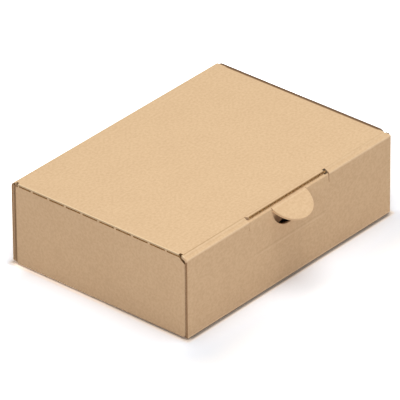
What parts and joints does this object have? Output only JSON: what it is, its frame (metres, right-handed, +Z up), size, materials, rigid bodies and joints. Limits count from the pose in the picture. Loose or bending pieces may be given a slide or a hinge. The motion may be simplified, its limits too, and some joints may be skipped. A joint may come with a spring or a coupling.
{
  "type": "closed corrugated mailing box",
  "caption": "Closed brown corrugated mailing box with a hinged wrap-over lid, bevelled front crease, lock slit, half-moon thumb tab and perforated left crease.",
  "frame": {"origin": "middle of the box's footprint on the table, without the thumb tab that stands out in front", "axes": "X along the box from its left to its right end, -Y out of the front with the thumb tab, Z up"},
  "size_m": [0.362, 0.2877, 0.108],
  "materials": {
    "tray_board": "matte",
    "lid_board": "matte"
  },
  "bodies": {
    "tray": {"tray": "tray_board"},
    "lid": {"lid": "lid_board"}
  },
  "joints": [
    {"name": "lid_hinge", "type": "hinge", "parent": "tray", "child": "lid", "pos_m": [0, 0.1248, 0.108], "axis": [-1, 0, 0], "range_deg": [0, 170]}
  ]
}
